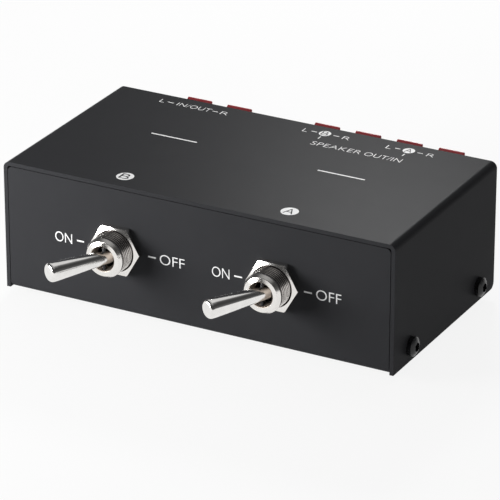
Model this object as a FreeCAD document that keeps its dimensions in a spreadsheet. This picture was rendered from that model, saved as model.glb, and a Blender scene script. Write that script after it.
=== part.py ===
import FreeCAD, Part
import math
import os
import re
import Sketcher

# Speaker selector switch: a low steel box with two bat toggles in front
# and two banks of push-lever wire terminals behind.
# X runs to the right seen from the front, Y to the rear, Z up.
# The origin is on the table, below the middle of everything's outer box.

SIZES = {
    # Box: tray with front and rear panels, cover, feet
    "box_width": 125.0,
    "box_depth": 66.0,
    "box_height": 39.5,
    "sheet": 1.2,
    "cover_sheet": 1.2,
    "cover_gap": 0.2,
    "cover_bend": 2.0,
    "cover_corner": 2.0,
    "tray_bend": 2.2,
    "panel_corner": 1.4,
    "flange_height": 10.0,
    "flange_setback": 5.0,
    "foot_radius": 5.0,
    "foot_height": 2.5,
    "foot_inset": 12.0,
    "foot_round": 0.8,
    # Domed socket screws that hold the cover, and their nuts
    "screw_from_end": 10.8,
    "screw_rise": 4.7,
    "screw_head_radius": 2.85,
    "screw_head_height": 2.3,
    "screw_dome": 1.0,
    "screw_radius": 1.5,
    "screw_length": 6.0,
    "socket_radius": 1.44,
    "socket_depth": 1.4,
    "screw_play": 0.2,
    "thread_gap": 0.04,
    "clinch_radius": 2.9,
    "clinch_height": 2.0,
    # Toggle switches: place, nut, washer and threaded bushing
    "switch_spread": 25.3,
    "switch_rise": 19.85,
    "bushing_radius": 5.95,
    "bushing_reach": 8.2,
    "bushing_play": 0.1,
    "rim_in": 0.7,
    "rim_slope": 1.0,
    "rim_round": 0.2,
    "mouth_radius": 3.8,
    "mouth_round": 0.25,
    "mouth_depth": 2.0,
    "ledge_radius": 3.05,
    "ledge_depth": 0.6,
    "bore_radius": 4.5,
    "bore_start": 3.2,
    "shank_radius": 5.1,
    "thread_pitch": 0.794,
    "thread_depth": 0.35,
    "thread_count": 7,
    "thread_start": 1.2,
    "groove_over": 0.04,
    "keyway_radius": 4.9,
    "nut_across": 14.3,
    "nut_height": 1.8,
    "nut_sink": 0.4,
    "nut_chamfer": 0.15,
    "washer_radius": 7.6,
    "washer_thickness": 0.6,
    "washer_tooth": 1.0,
    "washer_teeth": 8,
    # Toggle switches: steel frame and moulded case
    "frame_thickness": 1.0,
    "frame_leg": 11.0,
    "frame_leg_width": 10.0,
    "case_width": 16.0,
    "case_tall": 20.4,
    "case_depth": 14.6,
    "case_wall": 1.4,
    "case_floor": 2.4,
    "fit_gap": 0.05,
    # Toggle switches: lever, its pins, plunger and spring
    "lever_pivot": 7.0,
    "lever_tilt": 27.6,
    "lever_reach": 18.6,
    "lever_tip_radius": 2.83,
    "lever_root_radius": 2.05,
    "lever_round": 1.05,
    "lever_tail": 2.0,
    "lever_tail_chamfer": 0.4,
    "lever_bore": 1.25,
    "lever_bore_depth": 8.0,
    "pin_radius": 0.6,
    "plunger_radius": 1.2,
    "plunger_seat": 3.2,
    "plunger_length": 5.0,
    "spring_wall": 0.35,
    # Toggle switches: rocker, contact plates and solder lugs
    "rocker_pin_depth": 9.0,
    "rocker_pin_radius": 0.8,
    "hub_radius": 2.4,
    "hub_tall": 15.0,
    "fork_width": 5.0,
    "fork_tall": 3.2,
    "fork_angle": 50.0,
    "fork_depth": 1.35,
    "fork_gap": 0.08,
    "fork_shoulder": 1.0,
    "fork_neck": 2.5,
    "arm_width": 3.2,
    "plate_reach": 6.0,
    "plate_tall": 3.2,
    "plate_thickness": 0.8,
    "plate_drop": 3.5,
    "pole_spread": 4.8,
    "lug_spread": 4.7,
    "lug_width": 3.2,
    "lug_thickness": 0.8,
    "lug_end": 25.0,
    "lug_hole": 0.8,
    "lug_head": 1.2,
    "lug_seat": 14.2,
    "contact_gap": 0.1,
    # Wire terminals: banks, bodies and their chambers
    "bank_pitch": 13.5,
    "input_centre": -32.1,
    "input_columns": 2,
    "output_centre": 24.35,
    "output_columns": 4,
    "bank_rise": 19.75,
    "bank_flange": 1.8,
    "bank_half_tall": 15.2,
    "bank_ear": 5.5,
    "bank_edge": 0.5,
    "bank_corner": 2.0,
    "bank_round": 0.4,
    "boss_corner": 0.8,
    "bank_body_half": 14.2,
    "bank_inside": 11.0,
    "bank_play": 0.3,
    "boss_half": 5.4,
    "boss_reach": 3.4,
    "chamber_low": 0.9,
    "chamber_high": 13.0,
    "chamber_front": 2.0,
    "chamber_back": 9.6,
    "slot_low": 6.2,
    "slot_high": 13.9,
    "wire_hole": 1.6,
    "wire_funnel": 0.6,
    "wire_rise": 3.3,
    "cut_past": 1.0,
    # Wire terminals: push levers
    "tab_width": 8.3,
    "tab_play": 0.3,
    "tab_reach": 8.0,
    "tab_rise": 17.35,
    "tab_thickness": 1.8,
    "tab_round": 0.35,
    "tab_pivot_in": 1.5,
    "tab_pivot_rise": 9.5,
    "tab_bend_out": 4.0,
    "tab_bend_rise": 5.25,
    "tab_knee_out": 4.8,
    "tab_knee_rise": 3.1,
    "tab_heel": 1.1,
    "tab_heel_drop": 0.9,
    "tab_crown": 1.5,
    "tab_crown_out": 0.6,
    "trunnion_radius": 1.1,
    "trunnion_length": 1.1,
    "prong_inner": 2.4,
    "prong_outer": 3.9,
    "prong_reach": 6.1,
    "prong_under": 0.5,
    "prong_over": 0.2,
    # Wire terminals: spring clips and rivets
    "clip_width": 4.0,
    "clip_thickness": 0.5,
    "clip_tail": 17.0,
    "clip_rise": 1.05,
    "clip_top": 10.0,
    "clip_front_gap": 0.6,
    "clip_back_gap": 0.7,
    "clip_shoulder": 3.0,
    "clip_bend": 0.3,
    "clip_tip_back": 1.9,
    "clip_tip_lift": 0.4,
    "clip_tip_cut": 0.4,
    "clip_tip_rise": 0.25,
    "rivet_radius": 1.5,
    "rivet_head_radius": 2.7,
    "rivet_head": 1.0,
    "rivet_dome": 0.7,
    "rivet_tail_radius": 2.2,
    # Hook-up wires inside
    "wire_radius": 0.8,
    "wire_bend": 2.2,
    "wire_offset": 0.9,
    "first_lane": 4.0,
    "lane_step": 1.9,
    "link_lane": 3.2,
}

# Places and sizes that follow from the driving ones.
DERIVED = {
    "front_reach": "lever_pivot + (lever_reach - lever_round) * cos(lever_tilt)"
                   " + (lever_tip_radius - lever_round) * sin(lever_tilt) + lever_round",
    "face_y": "(front_reach - tab_reach - box_depth) / 2",
    "rear_y": "face_y + box_depth",
    "box_top": "foot_height + box_height",
    "tray_half": "box_width / 2 - cover_sheet - cover_gap",
    "tray_top": "box_top - cover_sheet - cover_gap",
    "switch_z": "foot_height + switch_rise",
    "bank_z": "foot_height + bank_rise",
    "screw_z": "foot_height + screw_rise",
    "frame_front": "sheet + washer_thickness",
    "frame_rear": "frame_front + frame_thickness",
    "case_rear": "frame_rear + case_depth",
    "rocker_arm": "lever_pivot + rocker_pin_depth",
    "rocker_lean": "atan(plunger_seat * sin(lever_tilt) / (rocker_arm - plunger_seat * cos(lever_tilt)))",
    "fork_vertex": "rocker_arm - plunger_seat - (plunger_radius + fork_gap) / sin(fork_angle)",
    "fork_top": "fork_vertex + fork_depth",
    "plate_line": "rocker_pin_depth + plate_drop / cos(rocker_lean)",
    "saddle_front": "plate_line + lug_head * tan(rocker_lean) + contact_gap",
    "contact_front": "plate_line + (lug_spread + lug_head) * tan(rocker_lean) + contact_gap",
    "chamber_half": "tab_width / 2 + tab_play",
    "trunnion_end": "chamber_half + trunnion_length",
    "keyway_width": "2 * (pin_radius + fit_gap)",
}

doc = FreeCAD.newDocument("SpeakerSelectorSwitch")
sheet = doc.addObject("Spreadsheet::Sheet", "Sizes")
for row, (alias, size) in enumerate(SIZES.items(), start=1):
    sheet.set(f"A{row}", alias)
    sheet.set(f"B{row}", str(size))
    sheet.setAlias(f"B{row}", alias)
doc.recompute()

PIECES = []
NEAR = 0.01


def bound(text):
    """Turn plain size names into references to the sheet."""
    def swap(match):
        word = match.group(0)
        if word in DERIVED:
            return "(" + bound(DERIVED[word]) + ")"
        if word in SIZES:
            return "Sizes." + word
        return word
    return re.sub(r"[a-z_][a-z_0-9]*", swap, str(text))


def bind(item, **sizes):
    """Bind properties of an object to expressions in the sheet's names."""
    for name, text in sizes.items():
        item.setExpression(name, bound(text))
    return item


def put(item, place):
    """Bind an object's place to three expressions."""
    for axis, text in zip("xyz", place):
        item.setExpression(f"Placement.Base.{axis}", bound(text))
    return item


def piece(label, item, place=("0", "0", "0")):
    """Name a finished sub-part, place it and put it on the list of files."""
    item.Label = label
    put(item, place)
    PIECES.append(item)
    return item


def minus(text):
    return f"-({text})"


# Part primitives and booleans

TURNS = {
    "up": FreeCAD.Rotation(),
    "front": FreeCAD.Rotation(FreeCAD.Vector(1, 0, 0), 90),
    "rear": FreeCAD.Rotation(FreeCAD.Vector(1, 0, 0), -90),
    "right": FreeCAD.Rotation(FreeCAD.Vector(0, 1, 0), 90),
    "left": FreeCAD.Rotation(FreeCAD.Vector(0, 1, 0), -90),
}

STEPS = {"front": (0, -1, 0), "rear": (0, 1, 0), "right": (1, 0, 0), "left": (-1, 0, 0)}


def block(low, high):
    """A box between two corners, given as expressions."""
    item = doc.addObject("Part::Box", "Block")
    spans = [f"({top}) - ({base})" for base, top in zip(low, high)]
    bind(item, Length=spans[0], Width=spans[1], Height=spans[2])
    return put(item, low)


def rod(radius, length, start, way="up"):
    """A cylinder from a start point along one of the named ways."""
    item = doc.addObject("Part::Cylinder", "Rod")
    item.Placement = FreeCAD.Placement(FreeCAD.Vector(), TURNS[way])
    bind(item, Radius=radius, Height=length)
    return put(item, start)


def cone(near, far, length, start, way="up"):
    """A cone from its near radius at the start point to its far radius."""
    item = doc.addObject("Part::Cone", "Cone")
    item.Placement = FreeCAD.Placement(FreeCAD.Vector(), TURNS[way])
    bind(item, Radius1=near, Radius2=far, Height=length)
    return put(item, start)


def prism(radius, length, start, way="up"):
    """A hexagonal bar, by the radius to its corners."""
    item = doc.addObject("Part::Prism", "Prism")
    item.Polygon = 6
    item.Placement = FreeCAD.Placement(FreeCAD.Vector(), TURNS[way])
    bind(item, Circumradius=radius, Height=length)
    return put(item, start)


def ball(radius, centre):
    item = doc.addObject("Part::Sphere", "Ball")
    bind(item, Radius=radius)
    return put(item, centre)


def domed(radius, height, dome, start, way):
    """A round head whose outer face is a shallow dome."""
    cap = f"((({radius}) ^ 2 + ({dome}) ^ 2) / (2 * ({dome})))"
    centre = [f"{spot} + {step} * ({height} - {cap})" for spot, step in zip(start, STEPS[way])]
    return shared(rod(radius, height, start, way), ball(cap, centre))


def joined(*items):
    item = doc.addObject("Part::MultiFuse", "Joined")
    item.Shapes = list(items)
    item.Refine = True
    return item


def cut(base, *tools):
    item = doc.addObject("Part::Cut", "Cut")
    item.Base = base
    item.Tool = tools[0] if len(tools) == 1 else joined(*tools)
    return item


def shared(first, second):
    item = doc.addObject("Part::MultiCommon", "Shared")
    item.Shapes = [first, second]
    return item


def group(*items):
    """Separate identical solids kept as one sub-part."""
    item = doc.addObject("Part::Compound", "Group")
    item.Links = list(items)
    return item


# Bodies built from bound sketches

def new_body(name, base=None):
    body = doc.addObject("PartDesign::Body", name)
    if base is not None:
        body.BaseFeature = base
    return body


def new_sketch(body, role, offset=None):
    """A sketch on one of the body's own planes, moved along its normal if asked."""
    sketch = body.newObject("Sketcher::SketchObject", "Sketch")
    plane = [item for item in body.Origin.OriginFeatures if item.Role == role][0]
    sketch.AttachmentSupport = [(plane, "")]
    sketch.MapMode = "FlatFace"
    if offset is not None:
        sketch.setExpression("AttachmentOffset.Base.z", bound(offset))
    return sketch


def outline(sketch, points):
    """A closed outline whose corners are bound to expressions."""
    first = sketch.GeometryCount
    count = len(points)
    turns = [2 * math.pi * index / count for index in range(count)]
    spots = [FreeCAD.Vector(math.cos(turn), math.sin(turn), 0) for turn in turns]
    for index in range(count):
        sketch.addGeometry(Part.LineSegment(spots[index], spots[(index + 1) % count]))
    for index in range(count):
        following = first + (index + 1) % count
        sketch.addConstraint(Sketcher.Constraint("Coincident", first + index, 2, following, 1))
    for index, (across, along) in enumerate(points):
        bonds = (("DistanceX", across, spots[index].x), ("DistanceY", along, spots[index].y))
        for kind, text, start in bonds:
            number = sketch.addConstraint(Sketcher.Constraint(kind, -1, 1, first + index, 1, start))
            sketch.setExpression(f"Constraints[{number}]", bound(text))
    return sketch


def ring(sketch, across, along, radius):
    """A bound circle."""
    number = sketch.addGeometry(Part.Circle(FreeCAD.Vector(1, 1, 0), FreeCAD.Vector(0, 0, 1), 1))
    for kind, text in (("DistanceX", across), ("DistanceY", along)):
        spot = sketch.addConstraint(Sketcher.Constraint(kind, -1, 1, number, 3, 1.0))
        sketch.setExpression(f"Constraints[{spot}]", bound(text))
    size = sketch.addConstraint(Sketcher.Constraint("Radius", number, 1.0))
    sketch.setExpression(f"Constraints[{size}]", bound(radius))
    return sketch


def pad(body, sketch, length, symmetric=False, reverse=False):
    item = body.newObject("PartDesign::Pad", "Pad")
    item.Profile = sketch
    item.SideType = "Symmetric" if symmetric else "One side"
    item.Reversed = reverse
    bind(item, Length=length)
    return item


def pocket(body, sketch, length, symmetric=False, reverse=False):
    item = body.newObject("PartDesign::Pocket", "Pocket")
    item.Profile = sketch
    item.SideType = "Symmetric" if symmetric else "One side"
    item.Reversed = reverse
    bind(item, Length=length)
    return item


def turned(body, sketch, groove=False):
    """Revolve a sketch about its upright axis, to add or to cut."""
    item = body.newObject("PartDesign::Groove" if groove else "PartDesign::Revolution", "Turned")
    item.Profile = sketch
    item.ReferenceAxis = (sketch, ["V_Axis"])
    item.Angle = 360
    return item


def rounded(body, radius, wanted, chamfer=False):
    """Round or chamfer those edges of the body's tip that the test picks."""
    doc.recompute()
    tip = body.Tip
    names = [f"Edge{number}" for number, edge in enumerate(tip.Shape.Edges, start=1) if wanted(edge)]
    item = body.newObject("PartDesign::Chamfer" if chamfer else "PartDesign::Fillet", "Rounded")
    item.Base = (tip, names)
    bind(item, **({"Size": radius} if chamfer else {"Radius": radius}))
    return item


def runs_along(edge, axis):
    """Is the edge straight along one axis?"""
    if edge.Curve.TypeId != "Part::GeomLine":
        return False
    way = edge.tangentAt(edge.FirstParameter)
    return abs(abs(way[axis]) - 1) < 1e-6


def middle(edge):
    return edge.CenterOfMass


def is_ring(edge, along):
    """Is the edge a full circle about the Y axis, this far along it?"""
    return edge.Curve.TypeId == "Part::GeomCircle" and edge.Closed and abs(middle(edge).y - along) < NEAR


# The box

def make_tray():
    """Front panel, floor and rear panel bent from one sheet, with side flanges and holes."""
    body = new_body("TrayBody")
    sketch = new_sketch(body, "YZ_Plane")
    outline(sketch, [
        ("face_y", "foot_height"),
        ("rear_y", "foot_height"),
        ("rear_y", "tray_top"),
        ("rear_y - sheet", "tray_top"),
        ("rear_y - sheet", "foot_height + sheet"),
        ("face_y + sheet", "foot_height + sheet"),
        ("face_y + sheet", "tray_top"),
        ("face_y", "tray_top"),
    ])
    pad(body, sketch, "2 * tray_half", symmetric=True)
    low = SIZES["foot_height"]
    inside = low + SIZES["sheet"]
    high = low + SIZES["box_height"] / 2
    rounded(body, "tray_bend", lambda edge: runs_along(edge, 0) and abs(middle(edge).z - low) < NEAR)
    rounded(body, "tray_bend - sheet",
            lambda edge: runs_along(edge, 0) and abs(middle(edge).z - inside) < NEAR)
    rounded(body, "panel_corner", lambda edge: runs_along(edge, 1) and middle(edge).z > high)
    flanges = [
        block((f"{side}", "face_y + flange_setback", "foot_height + sheet / 2"),
              (f"{side} + sheet", "rear_y - flange_setback", "foot_height + flange_height"))
        for side in ("-tray_half", "tray_half - sheet")
    ]
    holes = []
    for spot in SCREW_PLACES:
        start = minus("box_width / 2") if spot["side"] < 0 else "box_width / 2 - 4 * sheet"
        place = (start, spot["along"], "screw_z")
        holes.append(rod("screw_radius + screw_play", "4 * sheet", place, "right"))
    for side in (-1, 1):
        centre = (f"{side} * switch_spread", "face_y + 2 * sheet", "switch_z")
        holes.append(rod("bushing_radius + bushing_play", "3 * sheet", centre, "front"))
    for centre, columns, half in BANKS:
        width = f"({half} + bank_edge + bank_play)"
        tall = "(bank_body_half + bank_play)"
        holes.append(block((f"{centre} - {width}", "rear_y - 2 * sheet", f"bank_z - {tall}"),
                           (f"{centre} + {width}", "rear_y + sheet", f"bank_z + {tall}")))
        for side in (-1, 1):
            spot = (f"{centre} + {side} * ({half} + bank_ear / 2)", "rear_y - 2 * sheet", "bank_z")
            holes.append(rod("rivet_radius + fit_gap", "3 * sheet", spot, "rear"))
    return piece("chassis_tray", cut(joined(body, *flanges), *holes))


def make_cover():
    """The left side, top and right side bent from one sheet."""
    body = new_body("CoverBody")
    sketch = new_sketch(body, "XZ_Plane", minus("rear_y"))
    outline(sketch, [
        ("-box_width / 2", "foot_height"),
        ("-box_width / 2 + cover_sheet", "foot_height"),
        ("-box_width / 2 + cover_sheet", "box_top - cover_sheet"),
        ("box_width / 2 - cover_sheet", "box_top - cover_sheet"),
        ("box_width / 2 - cover_sheet", "foot_height"),
        ("box_width / 2", "foot_height"),
        ("box_width / 2", "box_top"),
        ("-box_width / 2", "box_top"),
    ])
    pad(body, sketch, "box_depth")
    top = SIZES["foot_height"] + SIZES["box_height"]
    under = top - SIZES["cover_sheet"]
    rounded(body, "cover_bend", lambda edge: runs_along(edge, 1) and abs(middle(edge).z - top) < NEAR)
    rounded(body, "cover_bend - cover_sheet",
            lambda edge: runs_along(edge, 1) and abs(middle(edge).z - under) < NEAR)
    low = SIZES["foot_height"] + NEAR
    rounded(body, "cover_corner",
            lambda edge: runs_along(edge, 0) and middle(edge).y > 0 and middle(edge).z < low)
    holes = []
    for spot in SCREW_PLACES:
        left = minus("box_width / 2 + cover_sheet")
        start = left if spot["side"] < 0 else "box_width / 2 - 2 * cover_sheet"
        place = (start, spot["along"], "screw_z")
        holes.append(rod("screw_radius + screw_play", "3 * cover_sheet", place, "right"))
    return piece("top_cover", cut(body, *holes))


def make_screw(spot):
    """One domed screw with a hexagon socket, pointing into the box."""
    side = spot["side"]
    outward = "right" if side > 0 else "left"
    face = (f"{side} * box_width / 2", spot["along"], "screw_z")
    head = domed("screw_head_radius", "screw_head_height", "screw_dome", face, outward)
    shank_end = (f"{side} * (box_width / 2 - screw_length)", spot["along"], "screw_z")
    shank = rod("screw_radius", "screw_length + screw_head_height / 4", shank_end, outward)
    socket_start = (f"{side} * (box_width / 2 + screw_head_height - socket_depth)", spot["along"], "screw_z")
    socket = prism("socket_radius", "2 * socket_depth", socket_start, outward)
    return cut(joined(head, shank), socket)


def make_clinch_nut(spot):
    """One threaded nut pressed on the inner face of the flange."""
    side = spot["side"]
    start = (f"{side} * (tray_half - sheet)", spot["along"], "screw_z")
    inward = "left" if side > 0 else "right"
    body = rod("clinch_radius", "clinch_height", start, inward)
    return cut(body, rod("screw_radius + thread_gap", "clinch_height", start, inward))


def make_feet():
    feet = []
    for side in (-1, 1):
        for along in ("face_y + foot_inset", "rear_y - foot_inset"):
            body = new_body("FootBody", rod("foot_radius", "foot_height", ("0", "0", "0")))
            rounded(body, "foot_round", lambda edge: middle(edge).z < NEAR)
            feet.append(put(body, (f"{side} * (box_width / 2 - foot_inset)", along, "0")))
    return piece("rubber_feet", group(*feet))


# A toggle switch, built about the point where its axis meets the panel's outer face.
# Distances out of the panel run towards -Y.

def make_bushing(tag, place):
    """Threaded bushing with a funnel mouth, a wide bore and two keyways for the lever's pins."""
    body = new_body("BushingBody")
    sketch = new_sketch(body, "XY_Plane")
    outline(sketch, [
        ("bore_radius", "frame_rear"),
        ("shank_radius", "frame_rear"),
        ("shank_radius", "frame_front"),
        ("bushing_radius", "frame_front"),
        ("bushing_radius", "-(bushing_reach - rim_slope)"),
        ("bushing_radius - rim_in", "-bushing_reach"),
        ("mouth_radius", "-bushing_reach"),
        ("ledge_radius", "-(bushing_reach - mouth_depth)"),
        ("ledge_radius", "-(bushing_reach - mouth_depth - ledge_depth)"),
        ("bore_radius", "-(bushing_reach - bore_start)"),
    ])
    turned(body, sketch)
    reach = SIZES["bushing_reach"]
    between = (SIZES["bushing_radius"] + SIZES["mouth_radius"]) / 2
    rounded(body, "rim_round", lambda edge: is_ring(edge, -reach) and edge.Curve.Radius > between)
    mouth = SIZES["mouth_radius"] + NEAR
    rounded(body, "mouth_round", lambda edge: is_ring(edge, -reach) and edge.Curve.Radius < mouth)
    grooves = new_sketch(body, "XY_Plane")
    outline(grooves, [
        ("bushing_radius + groove_over", "-thread_start"),
        ("bushing_radius - thread_depth", "-thread_start - thread_pitch / 2"),
        ("bushing_radius + groove_over", "-thread_start - thread_pitch"),
    ])
    groove = turned(body, grooves, groove=True)
    doc.recompute()
    rows = body.newObject("PartDesign::LinearPattern", "ThreadRows")
    rows.Originals = [groove]
    rows.Direction = (grooves, ["V_Axis"])
    rows.Reversed = True
    rows.Mode = "Spacing"
    rows.Occurrences = SIZES["thread_count"]
    bind(rows, Offset="thread_pitch", Occurrences="thread_count")
    body.Tip = rows
    keyway = block(("-keyway_width / 2", "-lever_pivot - keyway_width / 2", "-keyway_radius"),
                   ("keyway_width / 2", "-lever_pivot + keyway_width / 2", "keyway_radius"))
    return piece(f"bushing_{tag}", cut(body, keyway), place)


def make_panel_nut(tag, place):
    """Hexagon nut with a chamfered outer face and a countersunk thread."""
    corner = "nut_across / 2 / cos(30)"
    seat = ("0", "0", "0")
    hexagon = prism(corner, "nut_height", seat, "front")
    crown = cone(f"{corner} + nut_height / tan(30) - nut_chamfer", f"{corner} - nut_chamfer", "nut_height",
                 seat, "front")
    sink = cone("bushing_radius", "bushing_radius + thread_gap + nut_sink", "nut_sink + thread_gap",
                ("0", "-(nut_height - nut_sink - thread_gap)", "0"), "front")
    hole = rod("bushing_radius + thread_gap", "nut_height", seat, "front")
    return piece(f"panel_nut_{tag}", cut(shared(hexagon, crown), hole, sink), place)


def make_lock_washer(tag, place):
    """Internal-tooth washer between the panel and the switch's frame."""
    body = new_body("WasherBody")
    sketch = new_sketch(body, "XZ_Plane", "-frame_front")
    ring(sketch, "0", "0", "washer_radius")
    ring(sketch, "0", "0", "bushing_radius + fit_gap")
    pad(body, sketch, "washer_thickness")
    notch_sketch = new_sketch(body, "XZ_Plane", "-frame_front")
    outline(notch_sketch, [
        ("bushing_radius / 2", "-washer_tooth / 2"),
        ("bushing_radius + washer_tooth / 2", "-washer_tooth / 2"),
        ("bushing_radius + washer_tooth / 2", "washer_tooth / 2"),
        ("bushing_radius / 2", "washer_tooth / 2"),
    ])
    notch = pocket(body, notch_sketch, "washer_thickness", reverse=True)
    doc.recompute()
    teeth = body.newObject("PartDesign::PolarPattern", "Teeth")
    teeth.Originals = [notch]
    teeth.Axis = (notch_sketch, ["N_Axis"])
    teeth.Angle = 360
    bind(teeth, Occurrences="washer_teeth")
    body.Tip = teeth
    return piece(f"lock_washer_{tag}", body, place)


def make_frame(tag, place):
    """Steel frame: a front plate and two legs that hold the case."""
    half = "(case_width / 2 + frame_thickness)"
    plate = block((f"-{half}", "frame_front", "-case_tall / 2"), (half, "frame_rear", "case_tall / 2"))
    legs = [
        block((f"{low}", "frame_front", "-frame_leg_width / 2"),
              (f"{high}", "frame_rear + frame_leg", "frame_leg_width / 2"))
        for low, high in ((f"-{half}", "-case_width / 2"), ("case_width / 2", half))
    ]
    hole = rod("shank_radius + fit_gap", "3 * frame_thickness",
               ("0", "frame_rear + frame_thickness", "0"), "front")
    return piece(f"switch_frame_{tag}", cut(joined(plate, *legs), hole), place)


def lug_places():
    """Across and up places of one switch's four solder lugs, and where each one's head starts."""
    return [(across, rise, front)
            for rise in ("-pole_spread", "pole_spread")
            for across, front in (("0", "saddle_front"), ("lug_spread", "contact_front"))]


def make_case(tag, place):
    """Moulded case behind the frame, with a chamber, pin holes and lug slots."""
    shell = block(("-case_width / 2", "frame_rear", "-case_tall / 2"),
                  ("case_width / 2", "case_rear", "case_tall / 2"))
    chamber = block(("-case_width / 2 + case_wall", "frame_rear - case_wall", "-case_tall / 2 + case_wall"),
                    ("case_width / 2 - case_wall", "case_rear - case_floor", "case_tall / 2 - case_wall"))
    pin_hole = rod("rocker_pin_radius + fit_gap / 2", "2 * case_tall",
                   ("0", "rocker_pin_depth", "-case_tall"))
    slots = [
        block((f"{across} - lug_thickness / 2 - fit_gap", "case_rear - 2 * case_floor",
               f"{rise} - lug_width / 2 - fit_gap"),
              (f"{across} + lug_thickness / 2 + fit_gap", "case_rear + case_floor",
               f"{rise} + lug_width / 2 + fit_gap"))
        for across, rise, front in lug_places()
    ]
    return piece(f"switch_case_{tag}", cut(shell, chamber, pin_hole, *slots), place)


def make_lugs(tag, place):
    """Four solder lugs, each a strip with an eye and a round contact head."""
    lugs = []
    for across, rise, front in lug_places():
        strip = block((f"{across} - lug_thickness / 2", "lug_seat", f"{rise} - lug_width / 2"),
                      (f"{across} + lug_thickness / 2", "lug_end", f"{rise} + lug_width / 2"))
        head = rod("lug_head", f"lug_seat + lug_thickness / 2 - ({front})",
                   (across, "lug_seat + lug_thickness / 2", rise), "front")
        eye = rod("lug_hole", "3 * lug_thickness",
                  (f"{across} - 1.5 * lug_thickness", "lug_end - lug_width / 2", rise), "right")
        lugs.append(cut(joined(strip, head), eye))
    return piece(f"solder_lugs_{tag}", group(*lugs), place)


def leaning(item, angle):
    """Turn a piece about the upright line through its own origin."""
    item.setExpression("Placement.Rotation.Angle", bound(angle))
    return item


def make_lever(tag, place):
    """Bat lever about its pivot: a tapering bar with a rounded tip and a bored tail."""
    body = new_body("LeverBody")
    sketch = new_sketch(body, "XY_Plane")
    outline(sketch, [
        ("0", "-lever_reach"),
        ("lever_tip_radius", "-lever_reach"),
        ("lever_tip_radius", "-(lever_reach - 2 * lever_round)"),
        ("lever_root_radius", "-2 * pin_radius"),
        ("lever_root_radius", "lever_tail - lever_tail_chamfer"),
        ("lever_root_radius - lever_tail_chamfer", "lever_tail"),
        ("lever_bore", "lever_tail"),
        ("lever_bore", "-lever_bore_depth"),
        ("0", "-lever_bore_depth - lever_bore / 2"),
    ])
    turned(body, sketch)
    doc.recompute()
    tip = body.Tip.Shape.BoundBox.YMin
    rounded(body, "lever_round", lambda edge: abs(middle(edge).y - tip) < NEAR)
    hole = rod("pin_radius", "3 * lever_root_radius", ("0", "0", "-1.5 * lever_root_radius"))
    lever = piece(f"toggle_lever_{tag}", cut(body, hole), place)
    return leaning(lever, "-lever_tilt")


def make_lever_pins(tag, place):
    """Two short pins pressed into the lever, which turn in the bushing's keyways."""
    inner = "(lever_bore + fit_gap)"
    length = f"keyway_radius - fit_gap - {inner}"
    pins = [
        rod("pin_radius", length, ("0", "0", inner)),
        rod("pin_radius", length, ("0", "0", "-(keyway_radius - fit_gap)")),
    ]
    return leaning(piece(f"lever_pins_{tag}", group(*pins), place), "-lever_tilt")


def make_plunger(tag, place):
    """Round-nosed plunger in the lever's tail, which pushes the rocker over."""
    nose = ball("plunger_radius", ("0", "plunger_seat", "0"))
    stem = rod("plunger_radius", "plunger_length", ("0", "plunger_seat", "0"), "front")
    return leaning(piece(f"plunger_{tag}", joined(nose, stem), place), "-lever_tilt")


def make_plunger_spring(tag, place):
    """Coil spring behind the plunger, as the sleeve that its turns fill."""
    start = ("0", "plunger_seat - plunger_length", "0")
    length = "lever_bore_depth + plunger_seat - plunger_length"
    sleeve = rod("plunger_radius", length, start, "front")
    spring = cut(sleeve, rod("plunger_radius - spring_wall", length, start, "front"))
    return leaning(piece(f"plunger_spring_{tag}", spring, place), "-lever_tilt")


def make_rocker(tag, place):
    """Nylon rocker on its own pin: a forked arm in front and a contact bar behind."""
    half_mouth = "fork_depth * tan(fork_angle)"
    arm = block(("-arm_width / 2", "-(fork_vertex - fork_shoulder)", "-fork_tall / 2"),
                ("arm_width / 2", "0", "fork_tall / 2"))
    body = new_body("ForkBody")
    sketch = new_sketch(body, "XY_Plane")
    outline(sketch, [
        ("0", "-fork_vertex"),
        (half_mouth, "-fork_top"),
        ("fork_width / 2", "-fork_top"),
        ("fork_width / 2", "-(fork_vertex - fork_shoulder)"),
        ("arm_width / 2", "-(fork_vertex - fork_neck)"),
        ("-arm_width / 2", "-(fork_vertex - fork_neck)"),
        ("-fork_width / 2", "-(fork_vertex - fork_shoulder)"),
        ("-fork_width / 2", "-fork_top"),
        (f"-({half_mouth})", "-fork_top"),
    ])
    pad(body, sketch, "fork_tall", symmetric=True)
    hub = rod("hub_radius", "hub_tall", ("0", "0", "-hub_tall / 2"))
    bar = block(("-plate_reach", "hub_radius / 2", "-hub_tall / 2"),
                ("plate_reach", "plate_drop - plate_thickness", "hub_tall / 2"))
    hole = rod("rocker_pin_radius + fit_gap", "2 * hub_tall", ("0", "0", "-hub_tall"))
    rocker = piece(f"rocker_{tag}", cut(joined(arm, body, hub, bar), hole), place)
    return leaning(rocker, "rocker_lean")


def make_contact_plates(tag, place):
    """Two contact plates on the rocker's bar, one for each pole."""
    plates = [
        block(("-plate_reach", "plate_drop - plate_thickness", f"{rise} - plate_tall / 2"),
              ("plate_reach", "plate_drop", f"{rise} + plate_tall / 2"))
        for rise in ("-pole_spread", "pole_spread")
    ]
    return leaning(piece(f"contact_plates_{tag}", group(*plates), place), "rocker_lean")


def make_rocker_pin(tag, place):
    pin = rod("rocker_pin_radius", "case_tall", ("0", "0", "-case_tall / 2"))
    return piece(f"rocker_pin_{tag}", group(pin), place)


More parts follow.
